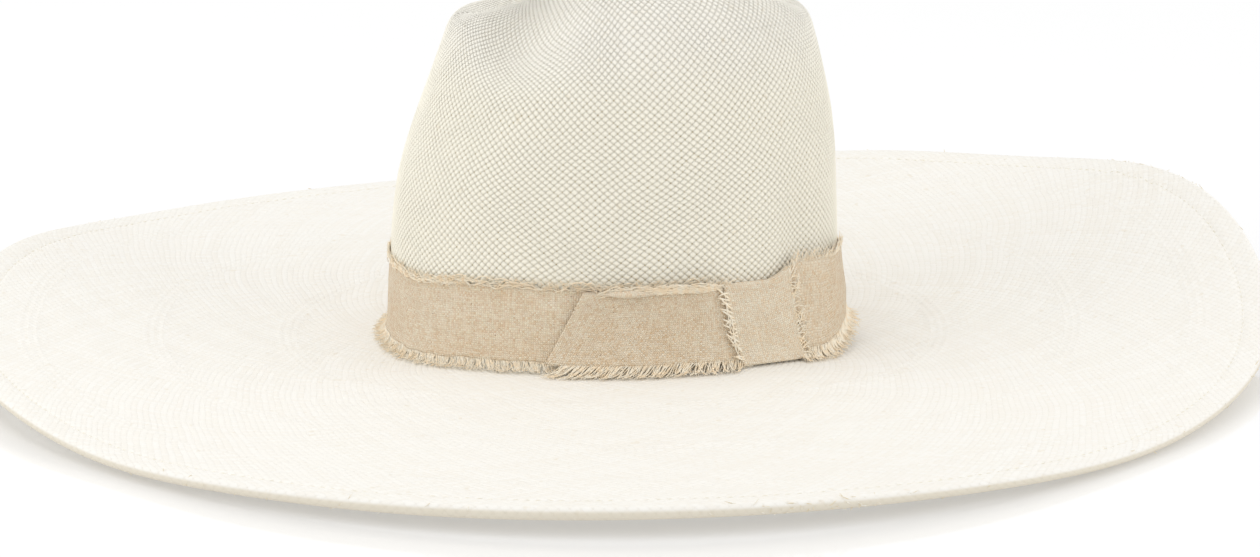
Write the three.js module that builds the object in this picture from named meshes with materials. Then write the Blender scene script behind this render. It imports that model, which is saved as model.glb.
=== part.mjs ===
// A wide-brim panama hat: a straw body with a pinched crown and a wired, folded brim edge,
// a ribbon sweatband inside, and a raw-edged linen hatband with a flat bow outside.
// Units are millimetres. +Z is up, -Y is the front, +X is the wearer's left, and z = 0 is the
// surface that the head opening rests on. Angles run round the crown from +X towards +Y.
import * as THREE from 'three';
import { ParametricGeometry } from 'three/addons/geometries/ParametricGeometry.js';
import { mergeVertices } from 'three/addons/utils/BufferGeometryUtils.js';

// ---- Driving dimensions, mm ----
const STRAW = 1.2; // thickness of the woven straw
const WALL_FRONT = 98.4; // reach of the crown wall from the crown's axis
const WALL_BACK = 97.6;
const WALL_SIDE = 81.5;
const FOOT_FLARE = 4; // how far the wall curves out where it meets the brim
const FLARE_HEIGHT = 5;
const SHOULDER = 146; // height at which the wall turns in to the tip
const CROWN_HEIGHT = 174; // height of the tip before it is creased
const SIDE_LIFT = 5.5; // the head opening's sides stand higher than its front and back
const BRIM_WIDTH = 185;
const REST_LAND = 8; // width of the flat ring round the head opening
const RIM_LEVEL = 9; // height of the brim's edge where nothing bends it
const HEM_WIDTH = 12; // width of the edge folded under the brim
const HEM_GAP = 0.4; // between the brim and the folded edge, at the hem's inner side
const FOLD_RADIUS = 1.9; // outside radius of the fold
const WIRE_RADIUS = 0.45;
const JOINER_ANGLE = 107; // degrees, where the wire's ends meet
const JOINER_RADIUS = 1;
const JOINER_REACH = 2.4; // degrees to each side of the joint
const BAND_HEIGHT = 38;
const LINEN = 0.7; // thickness of one layer of linen
const RIBBON = 0.7; // thickness of the sweatband
const SWEATBAND_HEIGHT = 32;
const CLEARANCE = 0.3; // between pieces that lie on each other
const THREAD_RADIUS = 0.28;

const degrees = THREE.MathUtils.degToRad;
const { smoothstep, lerp } = THREE.MathUtils;

// ---- Shape of the straw ----
const AROUND = 60;
const STEP = (2 * Math.PI) / AROUND;

// Bends in the brim's edge: where, how high, and how wide, in degrees, mm and degrees.
const RIM_BENDS = [
  { at: 0, height: 3, width: 26 },
  { at: 45, height: -3.5, width: 16 },
  { at: 110, height: 35, width: 27 },
  { at: 148, height: 9, width: 18 },
  { at: 197, height: -4.5, width: 24 },
  { at: 252, height: 12, width: 18 },
  { at: 285, height: 4, width: 18 },
  { at: 312, height: -2.5, width: 12 },
];

// A smooth hump, 1 at its centre.
const hump = (x, centre, width) => Math.exp(-(((x - centre) / width) ** 2));

// The same round the hat, for an angle in radians and a hump in degrees.
function humpRound(angle, centre, width) {
  const away = THREE.MathUtils.euclideanModulo(THREE.MathUtils.radToDeg(angle) - centre + 180, 360);
  return hump(away - 180, 0, width);
}

// Zero below 0 and x above it, with a rounded corner.
const ramp = (x, rounding) => (x + Math.hypot(x, rounding)) / 2;

const rimHeight = (angle) =>
  RIM_BENDS.reduce((sum, bend) => sum + bend.height * humpRound(angle, bend.at, bend.width), RIM_LEVEL);

const sideLift = (angle) => SIDE_LIFT * smoothstep(Math.abs(Math.cos(angle)), 0.42, 0.97);

// How far the crown wall stands from the axis along X and Y, at a height above the opening.
function wallReach(angle, height) {
  const flare = FOOT_FLARE * Math.exp(-height / FLARE_HEIGHT);
  const side = WALL_SIDE - 0.002 * ramp(height - 30, 20) ** 2;
  const front = WALL_FRONT - 0.37 * ramp(height - 69, 20);
  const back = WALL_BACK - 0.0018 * ramp(height - 59, 16) ** 2;
  const along = Math.sin(angle) < 0 ? front : back;
  return new THREE.Vector2(side + flare, along + flare);
}

// How the creases of the crown move a point of the plain crown.
function crease(point) {
  const { x, y, z } = point;
  const nearTip = smoothstep(z, CROWN_HEIGHT - 36, CROWN_HEIGHT - 4);
  const middle = smoothstep(y, -85, -25) * (1 - smoothstep(y, 35, 90));
  const centreDent = 22 * hump(x, 0, 18) * nearTip * (0.5 + 0.5 * middle);
  const endDroop = 4 * smoothstep(Math.abs(y - 5), 0, 95) * nearTip;
  const pinch = hump(y, -45, 25) * hump(Math.abs(x), 44, 24) * smoothstep(z, 114, 162);
  const angle = Math.atan2(y / WALL_BACK, x / WALL_SIDE);
  const dimple = 3 * humpRound(angle, 52, 7) * hump(z, 56, 16);
  return new THREE.Vector3(
    -Math.sign(x) * 17 * pinch - dimple * Math.cos(angle),
    -dimple * Math.sin(angle),
    -centreDent - endDroop - 20 * pinch,
  );
}

// Every surface shares the same facets round the hat, so that pieces which lie on each other nest.
const faceted = (surface) => (angle, ...where) => {
  const whole = Math.floor(angle / STEP + 1e-6);
  const start = surface(whole * STEP, ...where);
  return start.lerp(surface((whole + 1) * STEP, ...where), angle / STEP - whole);
};

// A point of the crown wall, at a distance out from the straw's outer face.
const wallPoint = faceted((angle, height, out = 0) => {
  const reach = wallReach(angle, height);
  const point = new THREE.Vector3(reach.x * Math.cos(angle), reach.y * Math.sin(angle), height);
  const lift = sideLift(angle) * (1 - smoothstep(height, 40, 120));
  return point
    .add(crease(point))
    .add(new THREE.Vector3(out * Math.cos(angle), out * Math.sin(angle), lift));
});

// A point of the tip: turn runs from 0 at the shoulder to 1 in the middle.
const TIP_POWER = 2 / 2.6; // below 1, so the shoulder is squarer than an ellipse
function tipPoint(angle, turn, out = 0) {
  const spread = turn < 1 ? Math.cos((turn * Math.PI) / 2) ** TIP_POWER : 0;
  const rise = Math.sin((turn * Math.PI) / 2) ** TIP_POWER;
  const height = lerp(SHOULDER, CROWN_HEIGHT, rise);
  const reach = wallReach(angle, height).multiplyScalar(spread);
  const point = new THREE.Vector3(reach.x * Math.cos(angle), reach.y * Math.sin(angle), height);
  const outward = new THREE.Vector3(spread * Math.cos(angle), spread * Math.sin(angle), rise);
  return point.add(crease(point)).addScaledVector(outward, out);
}

// A point of the brim: out is the distance from the foot of the crown, down is below its top face.
const brimPoint = faceted((angle, out, down = 0) => {
  const along = THREE.MathUtils.clamp((out - REST_LAND) / (BRIM_WIDTH - REST_LAND), 0, 1);
  const height = sideLift(angle) * (1 - along) + (rimHeight(angle) - STRAW) * along ** 1.6;
  return new THREE.Vector3(
    (WALL_SIDE + FOOT_FLARE + out) * Math.cos(angle),
    (WALL_BACK + FOOT_FLARE + out) * Math.sin(angle),
    height + STRAW - down,
  );
});

// The fold's outside radius: fuller at the front of the left side, and over the wire's joiner.
const foldRadius = (angle) =>
  FOLD_RADIUS + 0.9 * humpRound(angle, -9, 34) + 0.8 * humpRound(angle, JOINER_ANGLE, 12);

// A point round the brim's fold, at a radius from its centre. The turn is 90 on top, 0 outermost.
const foldPoint = faceted((angle, radius, turn) => {
  const outside = foldRadius(angle);
  const out = radius * Math.cos(degrees(turn));
  const centre = brimPoint(angle, BRIM_WIDTH - outside, outside - radius * Math.sin(degrees(turn)));
  return centre.add(new THREE.Vector3(out * Math.cos(angle), out * Math.sin(angle), 0));
});

// ---- Turning grids of points into solids ----

// Brings the two faces of a thin section together, which closes the end of a strip.
const closed = (section) =>
  section.map((point, i) => point.clone().lerp(section[section.length - 1 - i], 0.5));

// A solid from sections, each a row of points. An endless solid joins up with itself, and a
// looped section does too; a section that isn't looped starts and ends on the hat's axis.
function solidFrom(sections, { endless = true, looped = true } = {}) {
  const rows = endless
    ? [...sections, sections[0]]
    : [closed(sections[0]), ...sections, closed(sections[sections.length - 1])];
  const grid = looped ? rows.map((row) => [...row, row[0]]) : rows;
  const slices = grid.length - 1;
  const stacks = grid[0].length - 1;
  const pick = (u, v, target) => target.copy(grid[Math.round(u * slices)][Math.round(v * stacks)]);
  return welded(new ParametricGeometry(pick, slices, stacks));
}

// Joins the grid's seams, drops faces that have shrunk to a line, and turns the faces outwards.
function welded(geometry) {
  geometry.deleteAttribute('normal');
  geometry.deleteAttribute('uv');
  const merged = mergeVertices(geometry, 1e-3);
  const corner = (index) => new THREE.Vector3().fromBufferAttribute(merged.attributes.position, index);
  const faces = [];
  let volume = 0;
  for (let i = 0; i < merged.index.count; i += 3) {
    const face = [merged.index.getX(i), merged.index.getX(i + 1), merged.index.getX(i + 2)];
    if (new Set(face).size < 3) continue;
    faces.push(face);
    const [a, b, c] = face.map(corner);
    volume += a.dot(b.cross(c)) / 6;
  }
  merged.setIndex(faces.flatMap((face) => (volume < 0 ? face.reverse() : face)));
  merged.computeVertexNormals();
  return merged;
}

// The angles of the facets from one angle to another, in degrees, with both ends.
function anglesBetween(from, to) {
  const first = Math.ceil(degrees(from) / STEP + 1e-3);
  const last = Math.floor(degrees(to) / STEP - 1e-3);
  const between = Array.from({ length: last - first + 1 }, (_, i) => (first + i) * STEP);
  return [degrees(from), ...between, degrees(to)];
}

const ALL_ANGLES = Array.from({ length: AROUND }, (_, i) => i * STEP);

// The section of a round thread or wire, at a point of the hat.
function roundSection(centre, angle, radius, sides) {
  return Array.from({ length: sides }, (_, i) => {
    const turn = (2 * Math.PI * i) / sides;
    const out = radius * Math.cos(turn);
    const offset = new THREE.Vector3(out * Math.cos(angle), out * Math.sin(angle), radius * Math.sin(turn));
    return centre.clone().add(offset);
  });
}

// Heights at which everything that follows the foot of the crown has its facets.
const FOOT_HEIGHTS = [3, 8, 20];

// The section of a strip that lies along the crown wall, between two distances out from it.
function stripSection(angle, bottom, top, inner, outer) {
  const heights = [bottom, ...FOOT_HEIGHTS.filter((h) => h > bottom + 1), top];
  return [
    ...heights.map((h) => wallPoint(angle, h, outer)),
    ...heights.reverse().map((h) => wallPoint(angle, h, inner)),
  ];
}

// ---- The pieces ----

// Crown, brim and folded hem are one weave: the section runs from the middle of the tip down
// the outside, out over the brim, round the hem, and back along the underside.
function strawBody() {
  const tipTurns = [1, 0.9, 0.78, 0.64, 0.48, 0.31, 0.14, 0];
  const wallHeights = [131, 112, 92, 74, 56, 38, ...FOOT_HEIGHTS.toReversed()];
  const brimOuts = [0, REST_LAND, 30, 65, 100, 135, 158, BRIM_WIDTH - HEM_WIDTH];
  const turns = [90, 30, -30, -90];
  const section = (angle) => {
    const outside = foldRadius(angle);
    const hemIn = BRIM_WIDTH - outside - HEM_WIDTH;
    const hemMiddle = hemIn + HEM_WIDTH / 2;
    const channel = outside - STRAW;
    const hemDown = STRAW + HEM_GAP;
    const middleDown = STRAW + (HEM_GAP + 2 * channel) / 2;
    return [
      ...tipTurns.map((turn) => tipPoint(angle, turn)),
      ...wallHeights.map((height) => wallPoint(angle, height)),
      ...brimOuts.map((out) => brimPoint(angle, out)),
      ...turns.map((turn) => foldPoint(angle, outside, turn)),
      brimPoint(angle, hemMiddle, middleDown + STRAW),
      brimPoint(angle, hemIn, hemDown + STRAW),
      brimPoint(angle, hemIn, hemDown),
      brimPoint(angle, hemMiddle, middleDown),
      ...turns.toReversed().map((turn) => foldPoint(angle, channel, turn)),
      ...brimOuts.slice(1).reverse().map((out) => brimPoint(angle, out, STRAW)),
      brimPoint(angle, -STRAW, STRAW),
      ...wallHeights.toReversed().map((height) => wallPoint(angle, height, -STRAW)),
      ...tipTurns.toReversed().map((turn) => tipPoint(angle, turn, -STRAW)),
    ];
  };
  return solidFrom(ALL_ANGLES.map(section), { looped: false });
}

// The wire lies in the channel of the fold, and its ends stop just short of each other.
function brimWire() {
  const angles = anglesBetween(JOINER_ANGLE + 0.1, JOINER_ANGLE + 359.9);
  const section = (angle) => roundSection(foldPoint(angle, 0, 0), angle, WIRE_RADIUS, 6);
  return solidFrom(angles.map(section), { endless: false });
}

function wireJoiner() {
  const angles = anglesBetween(JOINER_ANGLE - JOINER_REACH, JOINER_ANGLE + JOINER_REACH);
  const sleeve = (radius) => (angle) => roundSection(foldPoint(angle, 0, 0), angle, radius, 8);
  const outer = angles.map(sleeve(JOINER_RADIUS));
  const inner = angles.toReversed().map(sleeve(WIRE_RADIUS + 0.25));
  return solidFrom([...outer, ...inner]);
}

function hemThread() {
  const section = (angle) => {
    const lifted = brimPoint(angle, BRIM_WIDTH - HEM_WIDTH, -THREAD_RADIUS - CLEARANCE);
    return roundSection(lifted, angle, THREAD_RADIUS, 4);
  };
  return solidFrom(ALL_ANGLES.map(section));
}

const RIBBON_FACE = -STRAW - CLEARANCE; // the sweatband's outer face, measured from the straw's

function sweatband() {
  const section = (angle) => stripSection(angle, 1.5, SWEATBAND_HEIGHT, RIBBON_FACE - RIBBON, RIBBON_FACE);
  return solidFrom(ALL_ANGLES.map(section));
}

function sweatbandThread() {
  const out = RIBBON_FACE - RIBBON - CLEARANCE - THREAD_RADIUS;
  const section = (angle) => roundSection(wallPoint(angle, 3, out), angle, THREAD_RADIUS, 4);
  return solidFrom(ALL_ANGLES.map(section));
}

function seamTape() {
  const outer = RIBBON_FACE - RIBBON - CLEARANCE;
  const section = (angle) => stripSection(angle, 5, SWEATBAND_HEIGHT - 1, outer - 0.5, outer);
  return solidFrom(anglesBetween(86.5, 93.5).map(section), { endless: false });
}

// Layers of linen, measured out from the straw: the hatband, then the keeper's back, the bow,
// and the keeper's front.
const BAND_INNER = 0.5;
const BAND_OUTER = BAND_INNER + LINEN;
const KEEPER_BACK = BAND_OUTER + CLEARANCE;
const BOW_INNER = KEEPER_BACK + LINEN + CLEARANCE;
const BOW_OUTER = BOW_INNER + 2 * LINEN;
const KEEPER_FRONT = BOW_OUTER + CLEARANCE;

const BAND_JOINT = 38; // degrees, where the band's ends meet under the bow

function hatband() {
  const section = (angle) => stripSection(angle, 2.6, BAND_HEIGHT, BAND_INNER, BAND_OUTER);
  const angles = anglesBetween(BAND_JOINT + 0.3, BAND_JOINT + 359.7);
  return solidFrom(angles.map(section), { endless: false });
}

// The bow is a strip folded double. Its front wing lies flat and ends in a slanted fold; behind
// the keeper it opens into a loop, which runs out, turns, and comes back along the hatband.
const BOW_BOTTOM = 3;
const BOW_TOP = 37.5;
const WING_END = -20; // degrees, at the wing's bottom corner
const WING_SLANT = 10; // degrees that the fold moves back from bottom to top
const KEEPER_START = 28.5; // degrees, at the keeper's bottom
const KEEPER_END = 49;
const KEEPER_LEAN = -5; // degrees that the keeper moves forward from bottom to top
const LOOP_END = 88;
const BOW_HEIGHTS = [8, 20, 31]; // where the bow and keeper bend to follow the crown
const LOOP_CLIMB = 8; // how much higher the loop's top edge stands than the wing's
const LOOP_SETTLE = 3; // how much of that it loses again towards its end
const LOOP_LIFT = 9; // how much higher the loop's bottom edge is at its end
const CLIMB_RUN = 13; // degrees to each side of the keeper's end over which the top edge changes
const LIFT_START = 7; // degrees behind the keeper where the bottom edge starts to rise
const LIFT_LEVEL = 4; // degrees before the loop's end where it stops
const WING_STEPS = 36; // sections along the wing, less one
const WING_STRAIGHTENS = 0.6; // share of the wing over which its slant runs out
const KEEPER_STEPS = 10;

// How much a point of the bow or keeper is raised, from the degrees round and the share of height.
function climb(round, share) {
  const settled = LOOP_SETTLE * smoothstep(round, KEEPER_END + CLIMB_RUN, LOOP_END);
  const top = LOOP_CLIMB * smoothstep(round, KEEPER_END - CLIMB_RUN, KEEPER_END + 1) - settled;
  const bottom = LOOP_LIFT * smoothstep(round, KEEPER_END + LIFT_START, LOOP_END - LIFT_LEVEL);
  return lerp(bottom, top, share);
}

function bow() {
  const wing = Array.from({ length: WING_STEPS + 1 }, (_, i) => ({
    angle: lerp(WING_END, KEEPER_END + 2, i / WING_STEPS),
    slant: WING_SLANT * Math.max(0, 1 - i / (WING_STEPS * WING_STRAIGHTENS)),
    out: (BOW_INNER + BOW_OUTER) / 2,
    thickness: 2 * LINEN,
  }));
  const outerLayer = Array.from({ length: 7 }, (_, i) => ({
    angle: lerp(KEEPER_END + 6, LOOP_END - 2, i / 6),
    slant: 0,
    out: BOW_OUTER - LINEN / 2 + 3.6 * Math.sin((Math.PI * (i + 0.7)) / 7.2),
    thickness: LINEN,
  }));
  const turnBack = { angle: LOOP_END, slant: 0, out: BOW_INNER + 1.1, thickness: LINEN };
  const innerLayer = Array.from({ length: 5 }, (_, i) => ({
    angle: lerp(LOOP_END - 2, KEEPER_END + 9, i / 4),
    slant: 0,
    out: BOW_INNER,
    thickness: LINEN,
  }));
  return solidFrom(ribbonSections([...wing, ...outerLayer, turnBack, ...innerLayer]), { endless: false });
}

// Sections of a ribbon whose middle follows a path of angles and distances out from the crown.
function ribbonSections(path) {
  const arc = (point) => new THREE.Vector2(degrees(point.angle) * WALL_BACK, point.out);
  const heights = [BOW_BOTTOM, ...BOW_HEIGHTS, BOW_TOP];
  return path.map((point, i) => {
    const before = arc(path[Math.max(i - 1, 0)]);
    const after = arc(path[Math.min(i + 1, path.length - 1)]);
    const tangent = after.sub(before).normalize();
    const place = (height, side) => {
      const shift = (side * point.thickness) / 2;
      const share = (height - BOW_BOTTOM) / (BOW_TOP - BOW_BOTTOM);
      const along = point.angle + point.slant * share;
      const angle = degrees(along) - (shift * tangent.y) / WALL_BACK;
      return wallPoint(angle, height + climb(along, share), point.out + shift * tangent.x);
    };
    return [
      ...heights.map((height) => place(height, 1)),
      ...heights.toReversed().map((height) => place(height, -1)),
    ];
  });
}

// The keeper is a sleeve of linen round the bow, folded over at top and bottom.
function bowKeeper() {
  const bottom = BOW_BOTTOM - 1;
  const top = BOW_TOP + 1;
  const loop = (inset) => (start) => {
    const heights = [bottom + inset, ...BOW_HEIGHTS, top - inset];
    const face = (out) => (height) => {
      const share = (height - bottom) / (top - bottom);
      const along = start + KEEPER_LEAN * share;
      return wallPoint(degrees(along), height + climb(along, share), out);
    };
    return [
      ...heights.map(face(KEEPER_FRONT + LINEN - inset)),
      ...heights.toReversed().map(face(KEEPER_BACK + inset)),
    ];
  };
  const starts = Array.from({ length: KEEPER_STEPS + 1 }, (_, i) =>
    lerp(KEEPER_START, KEEPER_END, i / KEEPER_STEPS),
  );
  const outer = starts.map(loop(0));
  const inner = starts.toReversed().map(loop(LINEN));
  return solidFrom([...outer, ...inner]);
}

// A tack stitch over the top edge of a strip whose outer face is at a distance from the straw.
function tackStitch(degreesRound, top, face) {
  const angle = degrees(degreesRound);
  const clear = THREAD_RADIUS + CLEARANCE;
  const path = new THREE.CatmullRomCurve3([
    wallPoint(angle, top - 4, face + clear),
    wallPoint(angle, top - 1, face + clear),
    wallPoint(angle, top + clear, face + clear / 2),
    wallPoint(angle, top + clear + 0.3, BAND_INNER + THREAD_RADIUS),
  ]);
  const thread = new THREE.Shape().absarc(0, 0, THREAD_RADIUS, 0, 2 * Math.PI);
  return new THREE.ExtrudeGeometry(thread, { steps: 8, curveSegments: 3, extrudePath: path });
}

// ---- Assembly ----
const surface = (color, roughness, metalness = 0) =>
  new THREE.MeshStandardMaterial({ color, roughness, metalness });

const LINEN_COLOUR = 0xd6c3a6;
const THREAD_COLOUR = 0xefe6d0;

const pieces = {
  straw_body: [strawBody(), surface(0xf3edde, 0.7)],
  brim_wire: [brimWire(), surface(0xb9bcc0, 0.35, 1)],
  wire_joiner: [wireJoiner(), surface(0xc9b27a, 0.4, 1)],
  hem_thread: [hemThread(), surface(THREAD_COLOUR, 0.8)],
  sweatband: [sweatband(), surface(0xe9e1cf, 0.85)],
  sweatband_thread: [sweatbandThread(), surface(THREAD_COLOUR, 0.8)],
  sweatband_seam_tape: [seamTape(), surface(0xe4dac4, 0.85)],
  hatband: [hatband(), surface(LINEN_COLOUR, 0.95)],
  bow: [bow(), surface(LINEN_COLOUR, 0.95)],
  bow_keeper: [bowKeeper(), surface(0xdcccb2, 0.95)],
  band_tack_front: [tackStitch(-92, BAND_HEIGHT, BAND_OUTER), surface(THREAD_COLOUR, 0.8)],
  band_tack_right: [tackStitch(178, BAND_HEIGHT, BAND_OUTER), surface(THREAD_COLOUR, 0.8)],
  band_tack_back: [tackStitch(108, BAND_HEIGHT, BAND_OUTER), surface(THREAD_COLOUR, 0.8)],
  bow_tack_front: [tackStitch(-3, BAND_HEIGHT, BOW_OUTER), surface(THREAD_COLOUR, 0.8)],
};

const hat = new THREE.Group();
for (const [name, [geometry, material]] of Object.entries(pieces)) {
  const mesh = new THREE.Mesh(geometry, material);
  mesh.name = name;
  hat.add(mesh);
}

export default hat;
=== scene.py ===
"""The look of a wide-brim panama hat: woven straw, raw-edged linen band and bow, ribbed sweatband.

Shapes are worked out by the same formulas as the CAD part, in mm, with angles from +X (the
wearer's left) towards +Y (the back). Meshes are written in metres.
"""

import bmesh
import bpy
import numpy as np
from mathutils import Matrix, Vector


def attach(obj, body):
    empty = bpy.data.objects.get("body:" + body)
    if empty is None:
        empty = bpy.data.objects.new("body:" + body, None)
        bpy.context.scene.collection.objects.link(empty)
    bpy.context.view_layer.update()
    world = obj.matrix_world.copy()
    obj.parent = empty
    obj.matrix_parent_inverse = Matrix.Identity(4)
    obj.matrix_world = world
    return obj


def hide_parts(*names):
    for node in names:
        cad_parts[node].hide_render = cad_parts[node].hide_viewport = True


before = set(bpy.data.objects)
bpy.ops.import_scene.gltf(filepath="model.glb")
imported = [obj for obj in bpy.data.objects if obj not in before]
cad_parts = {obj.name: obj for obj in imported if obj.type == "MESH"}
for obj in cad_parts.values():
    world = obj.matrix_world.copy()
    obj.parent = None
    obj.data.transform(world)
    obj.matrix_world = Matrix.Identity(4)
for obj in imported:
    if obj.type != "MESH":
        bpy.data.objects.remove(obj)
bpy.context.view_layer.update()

# ---- Driving dimensions of the part, mm ----
STRAW = 1.2
WALL_FRONT = 98.4
WALL_BACK = 97.6
WALL_SIDE = 81.5
FOOT_FLARE = 4.0
FLARE_HEIGHT = 5.0
SHOULDER = 146.0
CROWN_HEIGHT = 174.0
SIDE_LIFT = 5.5
BRIM_WIDTH = 185.0
REST_LAND = 8.0
RIM_LEVEL = 9.0
HEM_WIDTH = 12.0
HEM_GAP = 0.4
FOLD_RADIUS = 1.9
WIRE_RADIUS = 0.45
JOINER_ANGLE = 107
JOINER_RADIUS = 1.0
JOINER_REACH = 2.4
BAND_HEIGHT = 38.0
SWEATBAND_HEIGHT = 32.0
THREAD_RADIUS = 0.28
TIP_POWER = 2 / 2.6

# Bends in the brim's edge: where, how high, and how wide, in degrees, mm and degrees.
RIM_BENDS = [
    (0, 3.0, 26), (45, -3.5, 16), (110, 35.0, 27), (148, 9.0, 18),
    (197, -4.5, 24), (252, 12.0, 18), (285, 4.0, 18), (312, -2.5, 12),
]

# Layers of linen, as the middle of each, measured out from the straw.
BAND_OUT = 0.9
BOW_BACK_OUT = 2.85
BOW_FRONT_OUT = 3.55
KEEPER_BACK_OUT = 1.85
KEEPER_FRONT_OUT = 4.55
SWEATBAND_OUT = -1.9
TAPE_OUT = -2.75

BAND_JOINT = 38
BOW_BOTTOM = 3.0
BOW_TOP = 37.5
WING_END = -20
WING_SLANT = 10
KEEPER_START = 28.5
KEEPER_END = 49
KEEPER_LEAN = -5
LOOP_END = 88
LOOP_CLIMB = 8.0  # how much higher the loop's top edge stands than the wing's, mm
LOOP_SETTLE = 3.0  # how much of that it loses again towards its end
LOOP_LIFT = 9.0  # how much higher the loop's bottom edge is at its end
CLIMB_RUN = 13  # degrees to each side of the keeper's end over which the top edge changes
LIFT_START = 7  # degrees behind the keeper where the bottom edge starts to rise
LIFT_LEVEL = 4  # degrees before the loop's end where it stops

# ---- The weave, mm ----
CELLS = 160  # crossings of straw round the crown, counted along one row
ROW_PITCH = 3.1
RELIEF = 0.42  # how far the crossings stand out and in
TIP_SPREADS = [0.5, 0.25, 0.125, 0.0625]  # the tip has half as many strands inside each of these
BRIM_INCREASES = [38.0, 96.0, 150.0]  # distances out on the brim where strands are added
RING_STEP = 3.6  # between the lines of a ring, where strands are added
LIP_SHADE_FROM = 184.6  # distance along the brim's weave, out to its fold, past which the lip is painted darker as shade
LINEN_PITCH = 0.95
CLOTH = 0.45  # thickness of the linen
LINEN_EDGE = 5.4  # height where the woven linen ends and its fringe begins

MM = 0.001
TURN = 2 * np.pi


# ---- Shape of the straw ----
def smoothstep(x, low, high):
    t = np.clip((x - low) / (high - low), 0, 1)
    return t * t * (3 - 2 * t)


def hump(x, centre, width):
    return np.exp(-(((x - centre) / width) ** 2))


def hump_round(angle, centre, width):
    away = np.mod(np.degrees(angle) - centre + 180, 360) - 180
    return hump(away, 0, width)


def ramp(x, rounding):
    return (x + np.hypot(x, rounding)) / 2


def points(x, y, z):
    return np.stack(np.broadcast_arrays(x, y, z), axis=-1).astype(float)


def oval_point(angle, reach_x, reach_y, height):
    return points(reach_x * np.cos(angle), reach_y * np.sin(angle), height)


def rim_height(angle):
    return RIM_LEVEL + sum(height * hump_round(angle, at, width) for at, height, width in RIM_BENDS)


def side_lift(angle):
    return SIDE_LIFT * smoothstep(np.abs(np.cos(angle)), 0.42, 0.97)


def wall_reach(angle, height):
    flare = FOOT_FLARE * np.exp(-height / FLARE_HEIGHT)
    side = WALL_SIDE - 0.002 * ramp(height - 30, 20) ** 2
    front = WALL_FRONT - 0.37 * ramp(height - 69, 20)
    back = WALL_BACK - 0.0018 * ramp(height - 59, 16) ** 2
    return side + flare, np.where(np.sin(angle) < 0, front, back) + flare


def crease(p):
    x, y, z = p[..., 0], p[..., 1], p[..., 2]
    near_tip = smoothstep(z, CROWN_HEIGHT - 36, CROWN_HEIGHT - 4)
    middle = smoothstep(y, -85, -25) * (1 - smoothstep(y, 35, 90))
    centre_dent = 22 * hump(x, 0, 18) * near_tip * (0.5 + 0.5 * middle)
    end_droop = 4 * smoothstep(np.abs(y - 5), 0, 95) * near_tip
    pinch = hump(y, -45, 25) * hump(np.abs(x), 44, 24) * smoothstep(z, 114, 162)
    angle = np.arctan2(y / WALL_BACK, x / WALL_SIDE)
    dimple = 3 * hump_round(angle, 52, 7) * hump(z, 56, 16)
    return points(
        -np.sign(x) * 17 * pinch - dimple * np.cos(angle),
        -dimple * np.sin(angle),
        -centre_dent - end_droop - 20 * pinch,
    )


def wall_point(angle, height, out=0.0):
    lift = side_lift(angle) * (1 - smoothstep(height, 40, 120))
    p = oval_point(angle, *wall_reach(angle, height), height)
    return p + crease(p) + oval_point(angle, out, out, lift)


def tip_shape(turn):
    """How much of the reach is left, and how much of the tip's height is gained, at a turn."""
    spread = np.where(turn < 1, np.maximum(np.cos(turn * np.pi / 2), 0) ** TIP_POWER, 0)
    return spread, np.sin(turn * np.pi / 2) ** TIP_POWER


def tip_point(angle, turn, out=0.0):
    spread, rise = tip_shape(turn)
    height = SHOULDER + (CROWN_HEIGHT - SHOULDER) * rise
    reach_x, reach_y = wall_reach(angle, height)
    p = oval_point(angle, reach_x * spread, reach_y * spread, height)
    return p + crease(p) + oval_point(angle, out * spread, out * spread, out * rise)


def brim_point(angle, out, down=0.0):
    along = np.clip((out - REST_LAND) / (BRIM_WIDTH - REST_LAND), 0, 1)
    height = side_lift(angle) * (1 - along) + (rim_height(angle) - STRAW) * along**1.6
    reach = FOOT_FLARE + out
    return oval_point(angle, WALL_SIDE + reach, WALL_BACK + reach, height + STRAW - down)


def fold_radius(angle):
    return FOLD_RADIUS + 0.9 * hump_round(angle, -9, 34) + 0.8 * hump_round(angle, JOINER_ANGLE, 12)


def fold_point(angle, radius, turn):
    outside = fold_radius(angle)
    out = radius * np.cos(np.radians(turn))
    p = brim_point(angle, BRIM_WIDTH - outside, outside - radius * np.sin(np.radians(turn)))
    return p + oval_point(angle, out, out, 0.0)


def walk(x, y):
    """How far along a path each of its points is."""
    return np.concatenate([[0], np.cumsum(np.hypot(np.diff(x), np.diff(y)))])


def half_turn(start, count):
    """Angles inside half a turn, without its ends."""
    return np.radians(np.linspace(start, start + 180, count + 2)[1:-1])


def ripple(angle, along, seed, around=(2, 12), length=(30, 120), waves=9):
    """Soft unevenness that closes on itself round the hat, about 1 at its highest."""
    rng = np.random.default_rng(seed)
    total = 0.0
    for _ in range(waves):
        turns = rng.integers(*around)
        wave = rng.choice([-1, 1]) * rng.uniform(*length)
        total = total + np.sin(turns * angle + TURN * along / wave + rng.uniform(0, TURN))
    return total / waves**0.5 / 1.6


# ---- Meshes ----
def add_to_scene(name, data):
    obj = bpy.data.objects.new(name, data)
    bpy.context.scene.collection.objects.link(obj)
    return obj


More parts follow.
